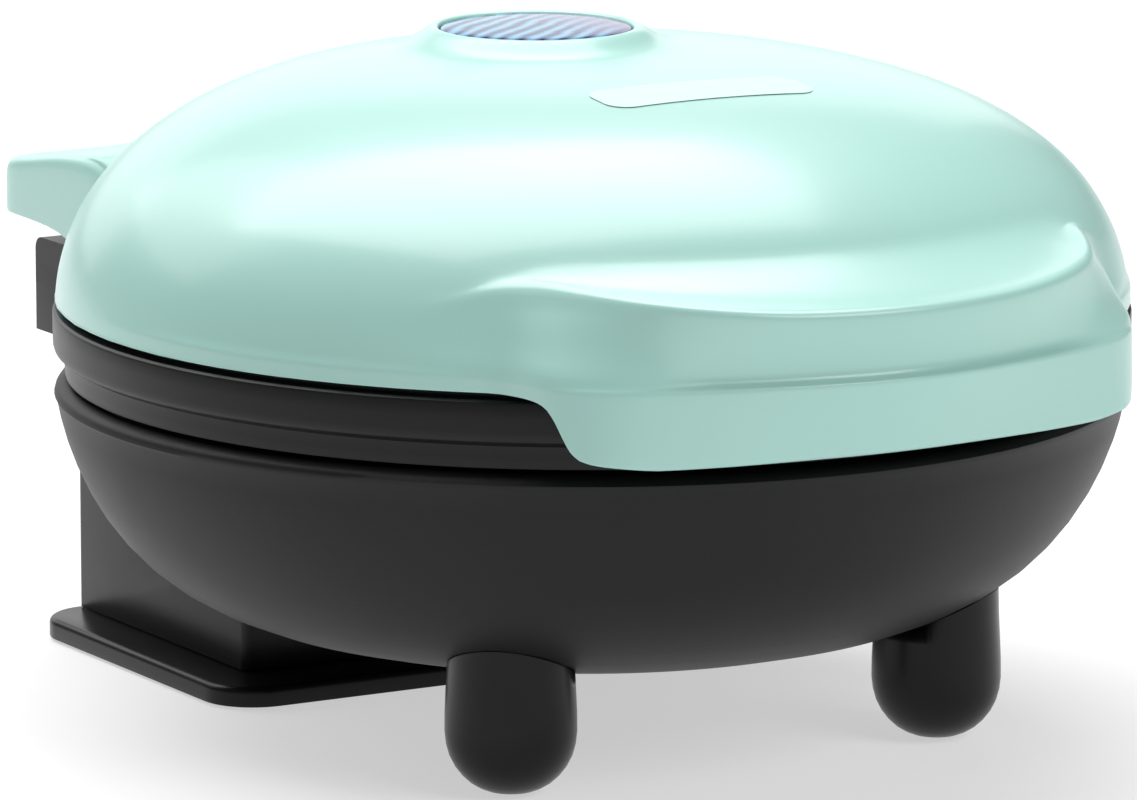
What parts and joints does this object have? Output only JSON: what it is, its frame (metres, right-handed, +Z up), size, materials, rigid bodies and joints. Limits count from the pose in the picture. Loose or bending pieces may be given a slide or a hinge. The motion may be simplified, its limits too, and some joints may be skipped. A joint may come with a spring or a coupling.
{
  "type": "donut maker",
  "caption": "Round countertop donut maker: domed mint lid with a drawn-out front grip on a rear hinge, dark bowl base, two post feet and a flat cord-wrap foot.",
  "frame": {"origin": "on the surface it stands on, under the middle of the whole closed object", "axes": "+Z up, -Y is the front with the lid's grip, +Y the hinge side, +X to the right seen from the front"},
  "size_m": [0.208, 0.242, 0.132],
  "materials": {
    "lid_mint": "gloss, moulded in colour",
    "housing_black": "fine matte texture",
    "frame_black": "satin",
    "foot_black": "satin gloss",
    "non_stick": "dark non-stick coating, satin",
    "sheath_steel": "heat-dulled",
    "reflector_sheet": "rolled sheet, semi-bright",
    "zinc_steel": "zinc plated",
    "lens_tint": "clear tinted, polished",
    "ceramic": "unglazed",
    "circuit": "lacquered board",
    "lamp_red": "clear coloured",
    "lamp_white": "clear milky"
  },
  "bodies": {
    "base": {"base_housing": "housing_black", "front_foot_left": "foot_black", "front_foot_right": "foot_black", "cord_wrap_tower": "frame_black", "rear_foot_plate": "foot_black", "foot_plate_screw_1": "zinc_steel", "foot_plate_screw_2": "zinc_steel", "foot_plate_screw_3": "zinc_steel", "foot_plate_screw_4": "zinc_steel", "hinge_pin_left": "zinc_steel", "hinge_pin_right": "zinc_steel", "cord_gland": "foot_black", "terminal_block": "ceramic", "lower_cooking_plate": "non_stick", "lower_heating_element": "sheath_steel", "lower_heat_reflector": "reflector_sheet", "lower_plate_screw_1": "zinc_steel", "lower_plate_screw_2": "zinc_steel", "lower_plate_screw_3": "zinc_steel", "lower_thermostat": "ceramic"},
    "lid": {"lid_cover": "lid_mint", "upper_frame": "frame_black", "indicator_lens": "lens_tint", "indicator_board": "circuit", "indicator_lamp_left": "lamp_red", "indicator_lamp_right": "lamp_white", "upper_cooking_plate": "non_stick", "upper_heating_element": "sheath_steel", "upper_heat_reflector": "reflector_sheet", "upper_plate_screw_1": "zinc_steel", "upper_plate_screw_2": "zinc_steel", "upper_plate_screw_3": "zinc_steel", "upper_thermostat": "ceramic", "thermal_fuse": "ceramic"}
  },
  "joints": [
    {"name": "lid_hinge", "type": "hinge", "parent": "base", "child": "lid", "pos_m": [0, 0.1085, 0.0695], "axis": [-1, 0, 0], "range_deg": [0, 100]}
  ]
}
